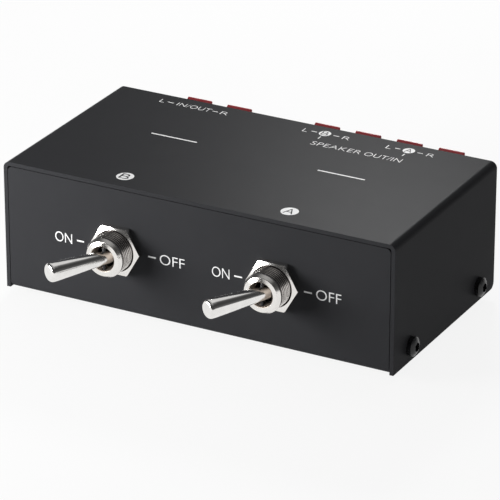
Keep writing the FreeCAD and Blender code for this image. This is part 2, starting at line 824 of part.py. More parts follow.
def make_switch(tag, side):
    """One complete toggle switch, left or right of the middle."""
    across = f"{side} * switch_spread"
    on_panel = (across, "face_y", "switch_z")
    at_lever = (across, "face_y - lever_pivot", "switch_z")
    at_rocker = (across, "face_y + rocker_pin_depth", "switch_z")
    for make in (make_bushing, make_panel_nut, make_lock_washer, make_frame, make_case, make_lugs):
        make(tag, on_panel)
    for make in (make_lever, make_lever_pins, make_plunger, make_plunger_spring):
        make(tag, at_lever)
    for make in (make_rocker, make_contact_plates, make_rocker_pin):
        make(tag, at_rocker)


# A bank of wire terminals, built about the middle of its seat on the rear panel.
# Distances behind the panel run towards +Y. Each column has a lever above and one below.

def column_places(columns):
    """Across places of the columns, from the bank's own middle."""
    return [f"({index} - ({columns} - 1) / 2) * bank_pitch" for index in range(columns)]


def sorted_by_row(low, high, row):
    """Heights of the upper row as they are, and of the lower row mirrored."""
    return (low, high) if row > 0 else (f"-{high}", f"-{low}")


def plate(wide, tall, depth, corner):
    """A moulded plate on the rear panel, from half its width and height, with rounded edges."""
    body = new_body("PlateBody")
    sketch = new_sketch(body, "XZ_Plane", minus(depth))
    outline(sketch, [
        (f"-{wide}", f"-{tall}"),
        (wide, f"-{tall}"),
        (wide, tall),
        (f"-{wide}", tall),
    ])
    pad(body, sketch, depth)
    rounded(body, corner, lambda edge: runs_along(edge, 1))
    rear = SIZES[depth] - NEAR
    rounded(body, "bank_round", lambda edge: middle(edge).y > rear)
    return body


def make_bank(label, centre, columns, half, count):
    """Moulded terminal body: flange, wire-entry boss, chambers, lever slots and wire holes."""
    edge = f"({half} + bank_edge)"
    ear = f"({half} + bank_ear)"
    flange = plate(ear, "bank_half_tall", "bank_flange", "bank_corner")
    boss = plate(half, "boss_half", "boss_reach", "boss_corner")
    trunk = block((f"-{edge}", "-bank_inside", "-bank_body_half"),
                  (edge, "bank_flange / 2", "bank_body_half"))
    holes = []
    for across in column_places(count):
        for row in (-1, 1):
            left = f"{across} - chamber_half"
            right = f"{across} + chamber_half"
            low, high = sorted_by_row("chamber_low", "chamber_high", row)
            holes.append(block((left, "-chamber_back", low), (right, "-chamber_front", high)))
            low, high = sorted_by_row("slot_low", "slot_high", row)
            holes.append(block((left, "-chamber_front - cut_past", low),
                               (right, "boss_reach + cut_past", high)))
            holes.append(rod("wire_hole", "chamber_front + boss_reach + cut_past",
                             (across, "-chamber_front - cut_past / 2", f"{row} * wire_rise"), "rear"))
            holes.append(cone("wire_hole", "wire_hole + wire_funnel", "wire_funnel",
                              (across, "boss_reach - wire_funnel", f"{row} * wire_rise"), "rear"))
            low, high = sorted_by_row("(clip_rise - fit_gap)", "(clip_rise + clip_thickness + fit_gap)", row)
            holes.append(block((f"{across} - clip_width / 2 - fit_gap", "-bank_inside - cut_past", low),
                               (f"{across} + clip_width / 2 + fit_gap", "-chamber_back + cut_past", high)))
            holes.append(rod("trunnion_radius + fit_gap", "2 * trunnion_end + 2 * fit_gap",
                             (f"{across} - trunnion_end - fit_gap", "-tab_pivot_in",
                              f"{row} * tab_pivot_rise"), "right"))
    for side in (-1, 1):
        holes.append(rod("rivet_radius + fit_gap", "3 * bank_flange",
                         (f"{side} * ({half} + bank_ear / 2)", "-bank_flange", "0"), "rear"))
    return piece(label, cut(joined(flange, boss, trunk), *holes), (centre, "rear_y", "bank_z"))


def make_tab(label, centre, across, row):
    """One push lever about its trunnions: a finger tab outside and two prongs inside."""
    body = new_body("TabBody")
    sketch = new_sketch(body, "YZ_Plane")
    reach = "tab_reach + tab_pivot_in"
    rise = "tab_rise - tab_pivot_rise"
    corners = [
        (reach, rise),
        (reach, f"{rise} - tab_thickness"),
        ("tab_knee_out + tab_pivot_in", "tab_knee_rise"),
        ("tab_pivot_in", "-tab_heel_drop"),
        ("-tab_heel", "-tab_heel"),
        ("-tab_heel", "tab_heel"),
        ("tab_crown_out", "tab_crown"),
        ("tab_bend_out + tab_pivot_in", "tab_bend_rise"),
    ]
    outline(sketch, [(along, f"{row} * ({up})") for along, up in corners])
    pad(body, sketch, "tab_width", symmetric=True)
    outside = SIZES["tab_pivot_in"]
    rounded(body, "tab_round", lambda edge: middle(edge).y > outside)
    axle = rod("trunnion_radius", "2 * trunnion_end - 2 * fit_gap",
               ("-trunnion_end + fit_gap", "0", "0"), "right")
    low, high = sorted_by_row("(-prong_under)", "prong_over", row)
    prongs = [
        block((left, "-prong_reach", low), (right, "0", high))
        for left, right in (("-prong_outer", "-prong_inner"), ("prong_inner", "prong_outer"))
    ]
    place = (f"{centre} + {across}", "rear_y - tab_pivot_in", f"bank_z + {row} * tab_pivot_rise")
    return piece(label, joined(body, axle, *prongs), place)


def make_clip(across, row):
    """One spring clip: a tail for solder, a contact floor, a riser and a pressing leg."""
    body = new_body("ClipBody")
    sketch = new_sketch(body, "YZ_Plane")
    inner = "clip_rise + clip_thickness"
    back = "-(chamber_back - clip_back_gap)"
    tip = "wire_rise + wire_hole + clip_tip_lift"
    corners = [
        ("-clip_tail", "clip_rise"),
        ("-chamber_front - clip_front_gap", "clip_rise"),
        ("-chamber_front - clip_front_gap", inner),
        (back, inner),
        (back, "clip_top"),
        ("-(chamber_back - clip_shoulder)", "clip_top"),
        ("-(chamber_front + clip_tip_back)", tip),
        ("-(chamber_front + clip_tip_back - clip_tip_cut)", f"{tip} + clip_tip_rise"),
        ("-(chamber_back - clip_shoulder - clip_bend)", "clip_top + clip_thickness"),
        (f"{back} - clip_thickness", "clip_top + clip_thickness"),
        (f"{back} - clip_thickness", inner),
        ("-clip_tail", inner),
    ]
    outline(sketch, [(along, f"{row} * ({up})") for along, up in corners])
    pad(body, sketch, "clip_width", symmetric=True)
    heights = sorted_by_row("clip_top", "(clip_top + clip_thickness)", row)
    ears = block(("-prong_outer", back, heights[0]),
                 ("prong_outer", "-(chamber_back - clip_shoulder)", heights[1]))
    return put(joined(body, ears), (across, "0", "0"))


def make_rivet(centre, half, side):
    """One rivet through the bank's ear and the rear panel."""
    spot = f"{centre} + {side} * ({half} + bank_ear / 2)"
    shank = rod("rivet_radius", "bank_flange + sheet", (spot, "rear_y - sheet", "bank_z"), "rear")
    head = domed("rivet_head_radius", "rivet_head", "rivet_dome",
                 (spot, "rear_y + bank_flange", "bank_z"), "rear")
    tail = rod("rivet_tail_radius", "rivet_head", (spot, "rear_y - sheet - rivet_head", "bank_z"), "rear")
    return joined(shank, head, tail)


# Hook-up wires: each lies in one plane, out along Y, across in a lane of its own and along Y again.

def lug_end(side, contact, rise, offset):
    """Where a wire meets a solder lug of the left (-1) or right (1) switch."""
    across = f"{side} * switch_spread" + (" + lug_spread" if contact else "")
    return (across, "face_y + lug_end", f"switch_z + {rise} * (pole_spread + {offset} * wire_offset)")


def clip_end(centre, column, columns, row, offset):
    """Where a wire meets the tail of a terminal's clip."""
    across = f"{centre} + ({column} - ({columns} + 1) / 2) * bank_pitch + {offset} * wire_offset"
    return (across, "rear_y - clip_tail", f"bank_z + {row} * (clip_rise + clip_thickness / 2)")


def corner(sketch, centre, first, second):
    """A quarter arc between two points, and the ends that meet them."""
    spots = [(centre, first), (centre, second)]
    turns = [math.atan2(spot[1] - middle[1], spot[0] - middle[0]) for middle, spot in spots]
    ends = (1, 2)
    if math.sin(turns[1] - turns[0]) < 0:
        turns.reverse()
        ends = (2, 1)
    if turns[1] < turns[0]:
        turns[1] += 2 * math.pi
    circle = Part.Circle(FreeCAD.Vector(*centre, 0), FreeCAD.Vector(0, 0, 1), 1)
    return sketch.addGeometry(Part.ArcOfCircle(circle, *turns)), ends


def make_wire(start, finish, lane):
    """One wire from start to finish: three straight runs joined by two tangent arcs."""
    run = f"sqrt((({finish[0]}) - ({start[0]})) ^ 2 + (({finish[2]}) - ({start[2]})) ^ 2)"
    ahead = 1 if start[1].startswith("face") else -1
    onward = 1 if finish[1] != start[1] else -ahead
    sketch = doc.addObject("Sketcher::SketchObject", "Route")
    rough = [(0, -4 * ahead), (0, -ahead), (1, 0), (3, 0), (4, onward), (4, 4 * onward)]
    exact = [
        ("0", start[1]),
        ("0", f"({lane}) - ({ahead}) * wire_bend"),
        ("wire_bend", lane),
        (f"{run} - wire_bend", lane),
        (run, f"({lane}) + ({onward}) * wire_bend"),
        (run, finish[1]),
    ]
    for index in (0, 2, 4):
        line = Part.LineSegment(FreeCAD.Vector(*rough[index], 0), FreeCAD.Vector(*rough[index + 1], 0))
        number = sketch.addGeometry(line)
        for end in (1, 2):
            spot = index + end - 1
            for kind, text, near in zip(("DistanceX", "DistanceY"), exact[spot], rough[spot]):
                bond = sketch.addConstraint(Sketcher.Constraint(kind, -1, 1, number, end, near))
                sketch.setExpression(f"Constraints[{bond}]", bound(text))
    for line, centre in ((0, (1, -ahead)), (1, (3, onward))):
        arc, ends = corner(sketch, centre, rough[2 * line + 1], rough[2 * line + 2])
        sketch.addConstraint(Sketcher.Constraint("Coincident", line, 2, arc, ends[0]))
        sketch.addConstraint(Sketcher.Constraint("Coincident", line + 1, 1, arc, ends[1]))
        bond = sketch.addConstraint(Sketcher.Constraint("DistanceX", -1, 1, arc, 3, centre[0]))
        sketch.setExpression(f"Constraints[{bond}]", bound(exact[2 + line][0]))
    section = doc.addObject("Part::Circle", "Section")
    section.Placement = FreeCAD.Placement(FreeCAD.Vector(), TURNS["rear"])
    bind(section, Radius="wire_radius")
    put(section, ("0", start[1], "0"))
    doc.recompute()
    wire = doc.addObject("Part::Sweep", "Wire")
    wire.Sections = [section]
    wire.Spine = (sketch, [f"Edge{number}" for number in range(1, 6)])
    wire.Solid = True
    wire.Placement = FreeCAD.Placement(FreeCAD.Vector(), FreeCAD.Rotation(FreeCAD.Vector(0, 1, 0), 1))
    lean = f"-atan2(({finish[2]}) - ({start[2]}); ({finish[0]}) - ({start[0]}))"
    leaning(wire, lean)
    ROUTES.append((wire, sketch))
    return put(wire, (start[0], "0", start[2]))


def lane(number):
    return f"face_y + lug_end + first_lane + {number} * lane_step"


def make_wires():
    """Red wires carry the two poles through the switches, black ones link the common terminals."""
    red_runs = [
        (lug_end(-1, False, 1, 1), clip_end("input_centre", 1, 2, 1, 0), 3),
        (lug_end(-1, False, 1, -1), lug_end(1, False, 1, -1), 2),
        (lug_end(-1, False, -1, 1), clip_end("input_centre", 2, 2, 1, 0), 4),
        (lug_end(-1, False, -1, -1), lug_end(1, False, -1, -1), 3),
        (lug_end(-1, True, 1, 0), clip_end("output_centre", 1, 4, 1, 0), 0),
        (lug_end(-1, True, -1, 0), clip_end("output_centre", 2, 4, 1, 0), 1),
        (lug_end(1, True, 1, 1), clip_end("output_centre", 3, 4, 1, 1), 1),
        (lug_end(1, True, -1, 0), clip_end("output_centre", 4, 4, 1, 0), 1),
    ]
    red = [make_wire(start, finish, lane(number)) for start, finish, number in red_runs]
    posts = [("input_centre", 1, 2), ("input_centre", 2, 2)]
    posts += [("output_centre", column, 4) for column in range(1, 5)]
    black = [
        make_wire(clip_end(*first, -1, 1), clip_end(*second, -1, -1), "rear_y - clip_tail - link_lane")
        for first, second in zip(posts, posts[1:])
    ]
    piece("red_wires", group(*red))
    piece("black_wires", group(*black))


ROUTES = []
BANKS = [
    ("input_centre", "input_columns", "(input_columns * bank_pitch / 2)"),
    ("output_centre", "output_columns", "(output_columns * bank_pitch / 2)"),
]
SCREW_PLACES = [
    {"side": side, "along": along}
    for side in (-1, 1)
    for along in ("face_y + screw_from_end", "rear_y - screw_from_end")
]

make_tray()
make_cover()
piece("cover_screws", group(*[make_screw(spot) for spot in SCREW_PLACES]))
piece("clinch_nuts", group(*[make_clinch_nut(spot) for spot in SCREW_PLACES]))
make_feet()
make_switch("b", -1)
make_switch("a", 1)
for name, (centre, columns, half) in zip(("input", "output"), BANKS):
    count = SIZES[columns]
    make_bank(f"{name}_terminal_body", centre, columns, half, count)
    clips = []
    for number, across in enumerate(column_places(count), start=1):
        for row, colour in ((1, "red"), (-1, "black")):
            make_tab(f"{name}_lever_{number}_{colour}", centre, across, row)
            clips.append(make_clip(across, row))
    piece(f"{name}_clips", group(*clips), (centre, "rear_y", "bank_z"))
rivets = [make_rivet(centre, half, side) for centre, columns, half in BANKS for side in (-1, 1)]
piece("terminal_rivets", group(*rivets))
make_wires()

doc.recompute()

# Nothing is written unless every object and every sub-part is sound.
faults = [item.Name for item in doc.Objects if {"Invalid", "Error"} & set(item.State)]
for item in PIECES:
    if item.Shape.isNull() or not item.Shape.isValid():
        faults.append(item.Label)
if faults:
    raise RuntimeError(f"not sound: {faults}")

os.makedirs("parts", exist_ok=True)
for item in PIECES:
    item.Shape.exportStep(f"parts/{item.Label}.step")
    box = item.Shape.BoundBox
    spans = [(box.XMin, box.XMax), (box.YMin, box.YMax), (box.ZMin, box.ZMax)]
    print(f"{item.Label}: {len(item.Shape.Solids)} solid(s), {item.Shape.Volume:.1f} mm3,",
          " ".join(f"{low:.2f}..{high:.2f}" for low, high in spans))
print(len(PIECES), "sub-parts")
for wire, route in ROUTES:
    arcs = [edge for edge in route.Shape.Edges if edge.Curve.TypeId == "Part::GeomCircle"]
    radii = [round(arc.Curve.Radius, 3) for arc in arcs]
    expected = math.pi * SIZES["wire_radius"] ** 2 * route.Shape.Length
    print(f"wire {route.Shape.Length:.1f} mm long, bends {radii},"
          f" volume {wire.Shape.Volume:.2f} against {expected:.2f} mm3")
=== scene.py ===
# %% [markdown]
# # A speaker selector switch
#
# The object is a low steel box with two bat toggles on the front and two banks of
# push-lever wire terminals on the rear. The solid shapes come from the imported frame.
# This lesson dresses them: it gives every piece a finish that is computed, with no image
# files, and it adds the printed legends, which are too thin to be solids.

# %% The frame
import math

import bpy
from mathutils import Matrix, Vector


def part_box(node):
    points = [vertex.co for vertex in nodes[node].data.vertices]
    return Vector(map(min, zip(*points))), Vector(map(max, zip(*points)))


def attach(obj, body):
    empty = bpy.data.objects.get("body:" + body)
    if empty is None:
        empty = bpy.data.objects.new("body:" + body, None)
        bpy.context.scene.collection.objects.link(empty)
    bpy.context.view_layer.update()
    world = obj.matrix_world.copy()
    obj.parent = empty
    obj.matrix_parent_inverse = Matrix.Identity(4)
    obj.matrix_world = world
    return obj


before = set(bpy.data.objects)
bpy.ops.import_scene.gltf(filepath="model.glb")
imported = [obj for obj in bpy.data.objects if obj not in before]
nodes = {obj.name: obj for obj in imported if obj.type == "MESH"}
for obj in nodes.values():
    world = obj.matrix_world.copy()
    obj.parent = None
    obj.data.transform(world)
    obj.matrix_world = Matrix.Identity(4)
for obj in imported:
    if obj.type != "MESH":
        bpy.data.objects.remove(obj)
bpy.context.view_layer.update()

# %% [markdown]
# ## Measures
#
# Blender works in metres here, and the object's own sizes are easier to read in
# millimetres. The box's faces are read from the frame, so the prints land on them. The
# switches stand at equal distances from the middle, each on its own axis from front to back.

# %% Measures
MM = 0.001
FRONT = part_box("chassis_tray")[0][1]
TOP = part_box("top_cover")[1][2]
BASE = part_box("top_cover")[0][2]
SWITCH_X = 25.3 * MM
SWITCH_Z = BASE + 19.85 * MM
print("front face at y =", round(FRONT, 5), "top at z =", round(TOP, 5))

# %% [markdown]
# ## Shared effects
#
# Real surfaces are never quite even. Powder coat has a fine orange peel, plating shows the
# lines of the lathe or the sheet mill, and handling leaves faint smears that change the gloss
# but hardly the colour. Each effect could be built anew in every material. Here each is a
# node group with named inputs instead, so that every finish uses it with its own values.

# %% Effect groups
NOISE_LOW, NOISE_HIGH = 0.3, 0.7


def new_group(name, inputs, outputs):
    """An empty shader node group with float inputs and outputs."""
    tree = bpy.data.node_groups.new(name, "ShaderNodeTree")
    for label, value in inputs.items():
        kind = "NodeSocketVector" if label == "Vector" else "NodeSocketFloat"
        socket = tree.interface.new_socket(name=label, in_out="INPUT", socket_type=kind)
        if label != "Vector":
            socket.default_value = value
    for label in outputs:
        tree.interface.new_socket(name=label, in_out="OUTPUT", socket_type="NodeSocketFloat")
    return tree, tree.nodes.new("NodeGroupInput"), tree.nodes.new("NodeGroupOutput")


def add_node(tree, kind, inputs=None, **settings):
    """A node with its settings, and with its unlinked inputs by name or by number."""
    node = tree.nodes.new(kind)
    for name, value in settings.items():
        setattr(node, name, value)
    for name, value in (inputs or {}).items():
        node.inputs[name].default_value = value
    return node


def noise_group(name, stretch, detail):
    """Noise that can be drawn out along one way, as a height or mask from 0 to 1."""
    inputs = {"Vector": None, "Scale": 1000.0, "Low": 0.0, "High": 1.0}
    tree, enter, leave = new_group(name, inputs, ["Value"])
    mapping = add_node(tree, "ShaderNodeMapping", {"Scale": stretch})
    noise = add_node(tree, "ShaderNodeTexNoise", {"Detail": detail})
    spread = add_node(tree, "ShaderNodeMapRange", {"From Min": NOISE_LOW, "From Max": NOISE_HIGH})
    links = tree.links
    links.new(enter.outputs["Vector"], mapping.inputs["Vector"])
    links.new(mapping.outputs["Vector"], noise.inputs["Vector"])
    links.new(enter.outputs["Scale"], noise.inputs["Scale"])
    links.new(noise.outputs["Fac"], spread.inputs["Value"])
    links.new(enter.outputs["Low"], spread.inputs["To Min"])
    links.new(enter.outputs["High"], spread.inputs["To Max"])
    links.new(spread.outputs["Result"], leave.inputs["Value"])
    return tree


GRAIN = noise_group("fine grain", (1, 1, 1), 3)
SMEAR = noise_group("handling smear", (1, 1, 1), 5)
MILL = noise_group("mill lines", (0.03, 1, 1), 2)
print("noise groups:", [tree.name for tree in (GRAIN, SMEAR, MILL)])

# %% [markdown]
# A nut or a bushing is cut on a lathe, so its marks are rings about its own axis, its end
# face is slightly crowned, and grime stays in the bore. The thread grooves and the ring of
# the nut's countersink get painted shade. A noise can't follow an axis. This group works out
# the distance from the switch's middle line, and makes the rings, the crown and the masks
# from it, for both switches at once.

# %% Turned group
RING_RATE = 24000.0
BORE = 3.9 * MM
# Radii out to which shade is painted: the thread grooves, and the ring round the nut's countersink.
THREAD_GROOVE = 5.88 * MM
NUT_GROOVE = 6.45 * MM
THREADS_END = FRONT - 7.15 * MM


def turned_group():
    """Rings about a switch's axis: a crowned height, a mask for the bore, and a mask for painted groove
    shade.
    """
    inputs = {"Vector": None, "Crown": 0.0, "Ring Depth": 0.0, "Bore": BORE, "Groove": THREAD_GROOVE}
    tree, enter, leave = new_group("turned about the switch", inputs, ["Value", "Bored", "Painted Groove Shade"])
    links = tree.links
    axes = tree.nodes.new("ShaderNodeSeparateXYZ")
    links.new(enter.outputs["Vector"], axes.inputs["Vector"])

    def result(operation, first, second=None):
        """One step of arithmetic on sockets or plain values."""
        node = add_node(tree, "ShaderNodeMath", operation=operation)
        for socket, value in zip(node.inputs, (first, second)):
            if isinstance(value, float):
                socket.default_value = value
            elif value is not None:
                links.new(value, socket)
        return node.outputs[0]

    across = result("SUBTRACT", result("ABSOLUTE", axes.outputs["X"]), SWITCH_X)
    upward = result("SUBTRACT", axes.outputs["Z"], SWITCH_Z)
    radius = result("SQRT", result("ADD", result("POWER", across, 2.0), result("POWER", upward, 2.0)))
    rings = result("SINE", result("MULTIPLY", radius, RING_RATE))
    height = result("SUBTRACT", result("MULTIPLY", rings, enter.outputs["Ring Depth"]),
                    result("MULTIPLY", radius, enter.outputs["Crown"]))
    threaded = result("GREATER_THAN", axes.outputs["Y"], THREADS_END)
    # The groove mask marks where shade is painted: the thread grooves, and the nut's countersink.
    groove = result("MULTIPLY", result("LESS_THAN", radius, enter.outputs["Groove"]), threaded)
    links.new(height, leave.inputs["Value"])
    links.new(result("LESS_THAN", radius, enter.outputs["Bore"]), leave.inputs["Bored"])
    links.new(groove, leave.inputs["Painted Groove Shade"])
    return tree


TURNED = turned_group()
print("turned group:", TURNED.name, "about x =", SWITCH_X, "z =", round(SWITCH_Z, 5))

# %% [markdown]
# ## One recipe for a finish
#
# Every finish here is one Principled shader. Its base colour is mixed between two close
# shades by the smear, its roughness moves between two values in the same way, and its
# bump comes from the grain or from the mill lines. Only the numbers differ, so one
# function makes them all. The colour sockets of a mix node are known by their numbers.

# %% Finish recipe
FIRST, SECOND, MIXED = 6, 7, 2
GRAIN_RISE = 0.2 * MM
GLOSS_STEP = 2.3


def use_group(tree, group, coords, **values):
    """An effect group with its values, and its first output."""
    node = tree.nodes.new("ShaderNodeGroup")
    node.node_tree = group
    tree.links.new(coords, node.inputs["Vector"])
    for name, value in values.items():
        node.inputs[name].default_value = value
    return node.outputs["Value"]


def finish(name, shades, gloss, metal=0.0, grain=(GRAIN, 3000, 0.05), smear=120, ior=1.5):
    """A finish from two shades, two roughness values and a grain: group, scale per metre, depth."""
    material = bpy.data.materials.new(name)
    material.use_nodes = True
    tree = material.node_tree
    shader = tree.nodes["Principled BSDF"]
    coords = tree.nodes.new("ShaderNodeTexCoord").outputs["Object"]
    mask = use_group(tree, SMEAR, coords, Scale=smear)
    blend = add_node(tree, "ShaderNodeMix", data_type="RGBA")
    tree.links.new(mask, blend.inputs["Factor"])
    for number, shade in zip((FIRST, SECOND), shades):
        blend.inputs[number].default_value = (*shade, 1)
    tree.links.new(blend.outputs[MIXED], shader.inputs["Base Color"])
    rough = use_group(tree, SMEAR, coords, Scale=smear * GLOSS_STEP, Low=gloss[0], High=gloss[1])
    tree.links.new(rough, shader.inputs["Roughness"])
    height = use_group(tree, grain[0], coords, Scale=grain[1])
    bump = add_node(tree, "ShaderNodeBump", {"Strength": grain[2], "Distance": GRAIN_RISE})
    tree.links.new(height, bump.inputs["Height"])
    tree.links.new(bump.outputs["Normal"], shader.inputs["Normal"])
    shader.inputs["Metallic"].default_value = metal
    shader.inputs["IOR"].default_value = ior
    return material


BLACK_COAT = finish("satin_black_coat", ((0.0335, 0.0340, 0.0365), (0.0350, 0.0355, 0.0380)), (0.34, 0.36),
                    grain=(GRAIN, 7000, 0.06), ior=1.062)
print("box finish:", BLACK_COAT.name)

# %% [markdown]
# ## Plated and turned metal
#
# The nuts and bushings are turned from bar and then nickel plated, and the levers are
# polished before they are plated. Turning leaves fine rings and a slight crown, and plating
# tarnishes brown in the bore, where no cloth reaches. The thread grooves and the nut's
# countersink are coloured dark as painted shade. The hidden steel is zinc plated, and dull.

# %% Metals
# Painted shade for the thread grooves and the nut's countersink; the bore shade is brown tarnish.
GROOVE_PAINTED_SHADE = (0.20, 0.18, 0.17, 1)
BORE_SHADE = (0.55, 0.48, 0.42, 1)
BORE_DULLNESS = 0.30


def turned_finish(name, crown, rings, groove):
    """Bright nickel with the marks of turning, brown tarnish in its bore, and painted shade in its
    grooves.
    """
    material = finish(name, ((0.80, 0.78, 0.75), (0.86, 0.84, 0.81)), (0.16, 0.22), metal=1.0,
                      grain=(GRAIN, 9000, 0.02), smear=300)
    tree = material.node_tree
    shader = tree.nodes["Principled BSDF"]
    coords = tree.nodes["Texture Coordinate"].outputs["Object"]
    height = use_group(tree, TURNED, coords, **{"Crown": crown, "Ring Depth": rings, "Groove": groove})
    marks = height.node.outputs
    crowned = add_node(tree, "ShaderNodeBump", {"Distance": 1.0})
    tree.links.new(height, crowned.inputs["Height"])
    tree.links.new(crowned.outputs["Normal"], tree.nodes["Bump"].inputs["Normal"])
    # The grooves are coloured dark as painted shade; the bore gets its brown tarnish.
    for mask, shade in ((marks["Painted Groove Shade"], GROOVE_PAINTED_SHADE), (marks["Bored"], BORE_SHADE)):
        tarnish_and_shade = add_node(tree, "ShaderNodeMix", {SECOND: shade}, data_type="RGBA")
        tree.links.new(mask, tarnish_and_shade.inputs["Factor"])
        tree.links.new(shader.inputs["Base Color"].links[0].from_socket, tarnish_and_shade.inputs[FIRST])
        tree.links.new(tarnish_and_shade.outputs[MIXED], shader.inputs["Base Color"])
    duller = add_node(tree, "ShaderNodeMath", {1: BORE_DULLNESS}, operation="MULTIPLY_ADD")
    tree.links.new(marks["Bored"], duller.inputs[0])
    tree.links.new(shader.inputs["Roughness"].links[0].from_socket, duller.inputs[2])
    tree.links.new(duller.outputs[0], shader.inputs["Roughness"])
    return material


TURNED_NICKEL = turned_finish("turned_nickel", crown=0.45, rings=0.004 * MM, groove=NUT_GROOVE)
BORED_NICKEL = turned_finish("bored_nickel", crown=0.0, rings=0.0, groove=THREAD_GROOVE)
CHROME = finish("polished_chrome", ((0.80, 0.79, 0.77), (0.86, 0.85, 0.83)), (0.10, 0.14), metal=1.0,
                grain=(GRAIN, 9000, 0.01), smear=400)
ZINC = finish("zinc_plate", ((0.52, 0.53, 0.55), (0.62, 0.63, 0.64)), (0.28, 0.42), metal=1.0,
              grain=(MILL, 6000, 0.12), smear=300)
# Near-black oxide: the screws' own finish; on the lever pins it is partly painted shade for the bore.
BLACK_OXIDE_AND_SHADE = finish("black_oxide_and_shade", ((0.010, 0.010, 0.011), (0.016, 0.016, 0.018)), (0.22, 0.32),
                     grain=(GRAIN, 8000, 0.04), smear=600, ior=1.4)
BRASS = finish("tinned_brass", ((0.66, 0.60, 0.45), (0.74, 0.70, 0.58)), (0.25, 0.4), metal=1.0,
               grain=(MILL, 6000, 0.1), smear=300)
print("finishes so far:", len(bpy.data.materials))

# %% [markdown]
# ## Plastics, rubber and ink
#
# Moulded pieces take their texture from the mould, so they are even, with a fine grain. The
# push levers are glossier than the terminal bodies, because fingers polish them. The ink is
# screen printed and has a faint tooth.

# %% Plastics and ink
RUBBER = finish("foot_rubber", ((0.014, 0.014, 0.014), (0.024, 0.024, 0.024)), (0.75, 0.9),
                grain=(GRAIN, 4000, 0.4), smear=300)
PHENOLIC = finish("moulded_phenolic", ((0.02, 0.02, 0.022), (0.035, 0.034, 0.034)), (0.45, 0.6),
                  grain=(GRAIN, 5000, 0.2), smear=200)
NYLON = finish("moulded_nylon", ((0.70, 0.68, 0.60), (0.76, 0.74, 0.66)), (0.4, 0.5),
               grain=(GRAIN, 3000, 0.1), smear=200)
BODY_BLACK = finish("terminal_black", ((0.014, 0.014, 0.015), (0.022, 0.022, 0.023)), (0.42, 0.52),
                    grain=(GRAIN, 6000, 0.2), smear=150)
LEVER_RED = finish("lever_red", ((0.52, 0.035, 0.045), (0.58, 0.045, 0.055)), (0.30, 0.40),
                   grain=(GRAIN, 3000, 0.05), smear=200)
LEVER_BLACK = finish("lever_black", ((0.014, 0.014, 0.015), (0.02, 0.02, 0.021)), (0.30, 0.40),
                     grain=(GRAIN, 3000, 0.05), smear=200)
WIRE_RED = finish("wire_red", ((0.42, 0.02, 0.02), (0.48, 0.03, 0.03)), (0.4, 0.5),
                  grain=(GRAIN, 3000, 0.1), smear=200)
WIRE_BLACK = finish("wire_black", ((0.02, 0.02, 0.02), (0.03, 0.03, 0.03)), (0.4, 0.5),
                    grain=(GRAIN, 3000, 0.1), smear=200)
PRINT_WHITE = finish("white_ink", ((0.80, 0.80, 0.80), (0.86, 0.86, 0.86)), (0.45, 0.55),
                     grain=(GRAIN, 8000, 0.05), smear=400)
print("finishes:", len(bpy.data.materials))

# %% [markdown]
# ## Finishes on the carried nodes
#
# The frame's nodes keep their shapes and get the finish of the real piece. The table is by
# the start of the name, because both switches and all columns share their pieces.

# %% Finishes on nodes
NODE_FINISH = {
    "chassis_tray": BLACK_COAT,
    "top_cover": BLACK_COAT,
    "cover_screws": BLACK_OXIDE_AND_SHADE,
    "clinch_nuts": ZINC,
    "rubber_feet": RUBBER,
    "bushing": BORED_NICKEL,
    "panel_nut": TURNED_NICKEL,
    "lock_washer": ZINC,
    "switch_frame": ZINC,
    "switch_case": PHENOLIC,
    "solder_lugs": BRASS,
    "rocker_pin": ZINC,
    "rocker": NYLON,
    "contact_plates": BRASS,
    "toggle_lever": CHROME,
    # The pins' near-black colour is partly their own oxide and partly painted shade, so the bore reads
    # dark.
    "lever_pins": BLACK_OXIDE_AND_SHADE,
    "plunger_spring": ZINC,
    "plunger": ZINC,
    "input_terminal_body": BODY_BLACK,
    "output_terminal_body": BODY_BLACK,
    "input_clips": BRASS,
    "output_clips": BRASS,
    "terminal_rivets": ZINC,
    "red_wires": WIRE_RED,
    "black_wires": WIRE_BLACK,
}


def finish_of(node):
    """The finish whose start of a name fits best, with the push levers by their colour."""
    if "_lever_" in node and not node.startswith("toggle"):
        return LEVER_RED if node.endswith("red") else LEVER_BLACK
    starts = [start for start in NODE_FINISH if node.startswith(start)]
    return NODE_FINISH[max(starts, key=len)]


def dress(obj, material):
    """Give an object one finish and nothing else."""
    obj.data.materials.clear()
    obj.data.materials.append(material)


for name, obj in nodes.items():
    dress(obj, finish_of(name))
print("dressed nodes:", len(nodes))

# %% [markdown]
# ## Printed legends
#
# The legends are white ink, a few hundredths of a millimetre thick. Text objects give the
# letters their true outlines. Each word is made a mesh, then fitted to the place and the
# size that it has on the box, and laid a hair above the coat. A painted texture would do
# the same, but it would need an image.

# %% Legend helpers
INK = 0.03 * MM
FACING = {"front": Matrix.Rotation(math.radians(90), 4, "X"), "top": Matrix.Identity(4)}


def settle(obj):
    """Apply an object's place, so that its shape stands in the frame and its origin is zero."""
    bpy.ops.object.select_all(action="DESELECT")
    obj.select_set(True)
    bpy.context.view_layer.objects.active = obj
    bpy.ops.object.transform_apply(location=True, rotation=True, scale=True)
    return obj


def fit_flat(obj, face, across, along):
    """Fit a flat mesh to a span across and along on the front or the top, and lay it there."""
    points = [vertex.co for vertex in obj.data.vertices]
    low = [min(point[axis] for point in points) for axis in (0, 1)]
    high = [max(point[axis] for point in points) for axis in (0, 1)]
    sizes = [(span[1] - span[0]) / (top - base) for span, base, top in zip((across, along), low, high)]
    shrink = Matrix.Diagonal((sizes[0], sizes[1], 1, 1))
    shift = Matrix.Translation((across[0] - low[0] * sizes[0], along[0] - low[1] * sizes[1], 0))
    lift = Matrix.Translation((0, FRONT, 0)) if face == "front" else Matrix.Translation((0, 0, TOP))
    obj.matrix_world = lift @ FACING[face] @ shift @ shrink
    return settle(obj)


